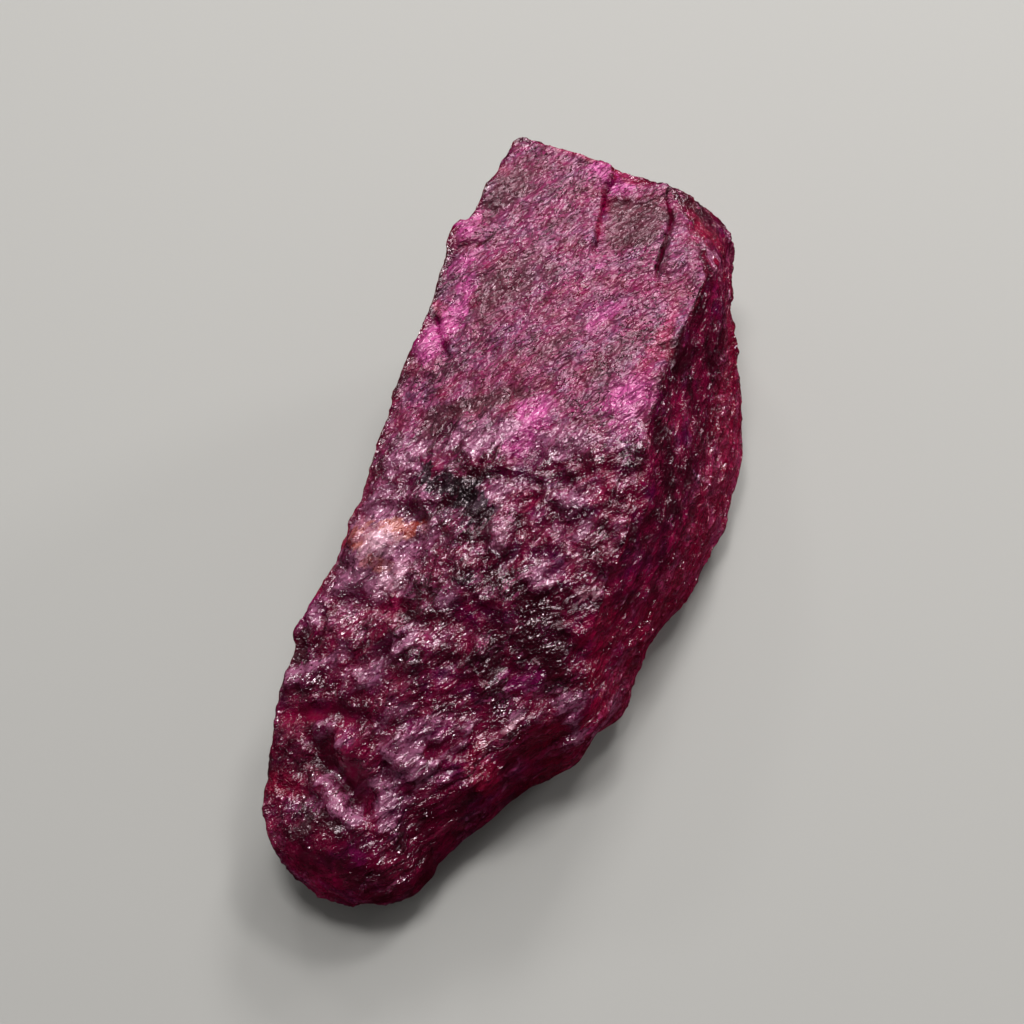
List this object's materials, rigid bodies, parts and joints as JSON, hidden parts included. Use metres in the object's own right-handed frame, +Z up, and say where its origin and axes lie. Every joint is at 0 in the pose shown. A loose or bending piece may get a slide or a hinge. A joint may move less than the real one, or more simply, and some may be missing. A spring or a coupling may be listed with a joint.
{
  "type": "rough ruby",
  "caption": "Rough ruby: a long broken lump of corundum with a flat-topped blunt head, a steep ridge and a hackly rounded nose, lying on a flat foot.",
  "frame": {"origin": "on the ground, under the middle of the stone's box", "axes": "+Y along the stone towards its blunt head, +Z up, +X towards the side with the steep ridge"},
  "size_m": [0.0252, 0.0583, 0.0204],
  "materials": {
    "rough_ruby": "satin"
  },
  "bodies": {
    "root": {"ruby": "rough_ruby"}
  },
  "joints": []
}
